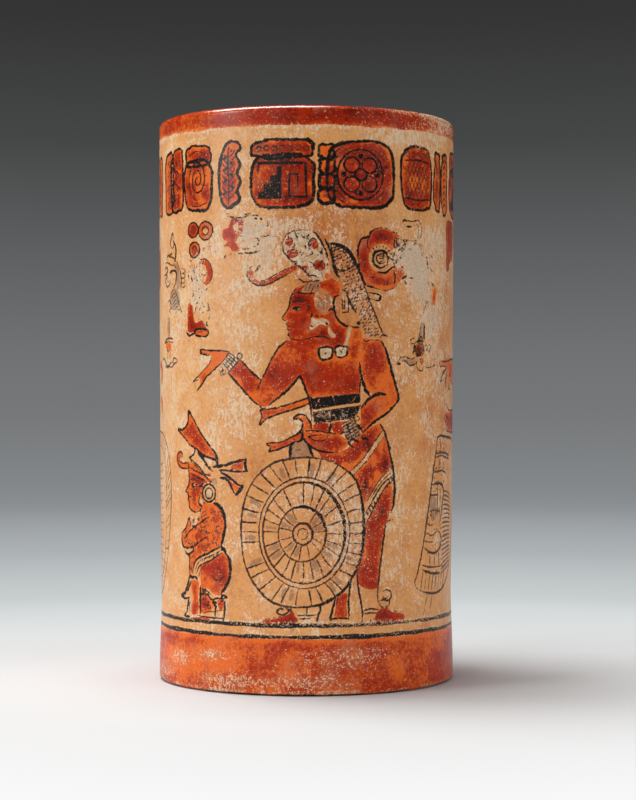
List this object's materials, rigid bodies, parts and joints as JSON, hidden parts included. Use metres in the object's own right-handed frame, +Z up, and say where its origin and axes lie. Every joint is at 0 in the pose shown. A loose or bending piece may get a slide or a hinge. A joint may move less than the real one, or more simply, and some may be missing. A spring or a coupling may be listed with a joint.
{
  "type": "cacao vase",
  "caption": "Tall cylinder vase of slip-painted earthenware for a frothed cacao drink, hand built from clay strips on a flat round floor, open at the top.",
  "frame": {"origin": "centre of the foot, on the surface that the vase stands on", "axes": "+Z up along the vase's axis to the mouth, -Y towards the painted face that the picture shows, +X to the right of that face"},
  "size_m": [0.115, 0.115, 0.216],
  "materials": {
    "cream_slip": "burnished cream-orange slip with painted figures, satin, worn",
    "red_slip": "burnished red slip, satin, rubbed at the edges",
    "bare_clay": "wiped and smoothed bare earthenware, matt"
  },
  "bodies": {
    "root": {"floor_disc": "bare_clay", "corner_coil": "bare_clay", "foot_strip": "red_slip", "wall_strip_1": "cream_slip", "wall_strip_2": "cream_slip", "wall_strip_3": "cream_slip", "wall_strip_4": "cream_slip", "wall_strip_5": "cream_slip", "wall_strip_6": "cream_slip", "wall_strip_7": "cream_slip", "rim_coil": "red_slip"}
  },
  "joints": []
}
